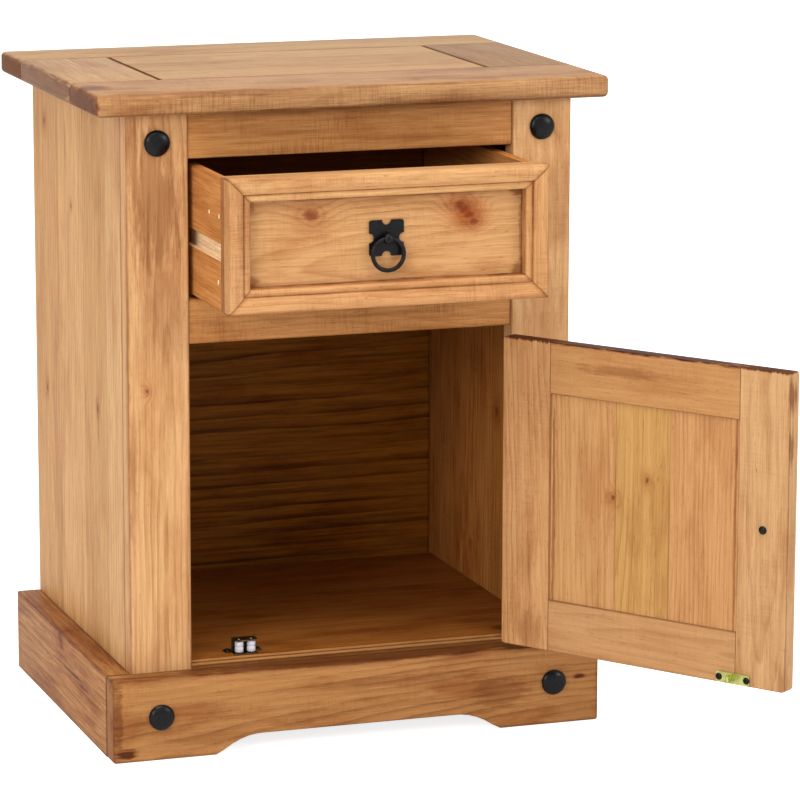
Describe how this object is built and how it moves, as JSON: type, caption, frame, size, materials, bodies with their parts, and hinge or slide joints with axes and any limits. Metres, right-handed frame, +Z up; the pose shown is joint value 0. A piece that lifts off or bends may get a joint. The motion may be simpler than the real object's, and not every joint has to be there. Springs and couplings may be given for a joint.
{
  "type": "nightstand with drawer and cupboard",
  "caption": "Pine nightstand with a drawer that slides out above a cupboard with a hinged panelled door, iron ring pulls and a plinth with an arched front.",
  "frame": {"origin": "on the floor, under the middle of the top board", "axes": "+X to the right of someone facing the front, +Y to the back, +Z up"},
  "size_m": [0.6221, 0.6595, 0.66],
  "materials": {
    "top_pine": "waxed pine, satin",
    "carcass_pine": "waxed pine, satin",
    "rail_pine": "darker waxed pine, satin",
    "interior_pine": "dark stained, dull",
    "runner_pine": "bare pine",
    "drawer_front_pine": "waxed pine, satin",
    "drawer_box_pine": "stained orange, satin",
    "door_pine": "waxed pine, satin",
    "iron": "black lacquered, slightly worn",
    "hinge_brass": "dull",
    "zinc": "yellow zinc plated",
    "nylon": "smooth, off-white"
  },
  "bodies": {
    "carcass": {"top_front_board": "top_pine", "top_rear_board": "top_pine", "top_left_end_board": "top_pine", "top_right_end_board": "top_pine", "top_centre_panel": "top_pine", "left_side_panel": "carcass_pine", "right_side_panel": "carcass_pine", "left_stile": "carcass_pine", "right_stile": "carcass_pine", "plinth_front": "carcass_pine", "plinth_left": "carcass_pine", "plinth_right": "carcass_pine", "top_rail": "rail_pine", "middle_rail": "rail_pine", "bottom_rail": "rail_pine", "base_panel": "interior_pine", "back_panel": "interior_pine", "left_drawer_runner": "runner_pine", "right_drawer_runner": "runner_pine", "left_stile_stud": "iron", "right_stile_stud": "iron", "left_plinth_stud": "iron", "right_plinth_stud": "iron", "catch_cage": "zinc", "lower_hinge_fixed_leaf": "hinge_brass", "lower_hinge_pin": "hinge_brass", "upper_hinge_fixed_leaf": "hinge_brass", "upper_hinge_pin": "hinge_brass"},
    "drawer": {"drawer_front_board": "drawer_front_pine", "drawer_bottom_moulding": "drawer_front_pine", "drawer_left_moulding": "drawer_front_pine", "drawer_top_moulding": "drawer_front_pine", "drawer_right_moulding": "drawer_front_pine", "drawer_left_side": "drawer_box_pine", "drawer_right_side": "drawer_box_pine", "drawer_bottom": "drawer_box_pine", "drawer_back": "drawer_box_pine", "drawer_pull_plate": "iron", "drawer_pull_post": "iron", "drawer_pull_screw": "iron"},
    "door": {"door_strike": "zinc", "door_free_stile": "door_pine", "door_hinge_stile": "door_pine", "door_top_rail": "door_pine", "door_bottom_rail": "door_pine", "door_panel": "door_pine", "door_bottom_bead": "door_pine", "door_left_bead": "door_pine", "door_top_bead": "door_pine", "door_right_bead": "door_pine", "door_pull_plate": "iron", "door_pull_post": "iron", "door_pull_screw": "iron", "lower_hinge_moving_leaf": "hinge_brass", "upper_hinge_moving_leaf": "hinge_brass"},
    "drawer_ring": {"drawer_pull_ring": "iron"},
    "door_ring": {"door_pull_ring": "iron"},
    "left_roller": {"left_catch_roller": "nylon"},
    "right_roller": {"right_catch_roller": "nylon"}
  },
  "joints": [
    {"name": "drawer_slide", "type": "slide", "parent": "carcass", "child": "drawer", "axis": [0, -1, 0], "range_m": [-0.107, 0.12]},
    {"name": "door_hinge", "type": "hinge", "parent": "carcass", "child": "door", "pos_m": [0.1655, -0.186, 0.25], "axis": [0, 0, 1], "range_deg": [-125.5, 44]},
    {"name": "drawer_ring_swing", "type": "hinge", "parent": "drawer", "child": "drawer_ring", "pos_m": [0, -0.2854, 0.5232], "axis": [-1, 0, 0], "range_deg": [-5, 165]},
    {"name": "door_ring_swing", "type": "hinge", "parent": "door", "child": "door_ring", "pos_m": [0.34788, -0.42809, 0.247], "axis": [0.5807, -0.8141, 0], "range_deg": [-5, 165]},
    {"name": "left_roller_spin", "type": "hinge", "parent": "carcass", "child": "left_roller", "pos_m": [-0.11395, -0.16, 0.0974], "axis": [0, 0, 1], "continuous": true},
    {"name": "right_roller_spin", "type": "hinge", "parent": "carcass", "child": "right_roller", "pos_m": [-0.10135, -0.16, 0.0974], "axis": [0, 0, 1], "continuous": true}
  ]
}
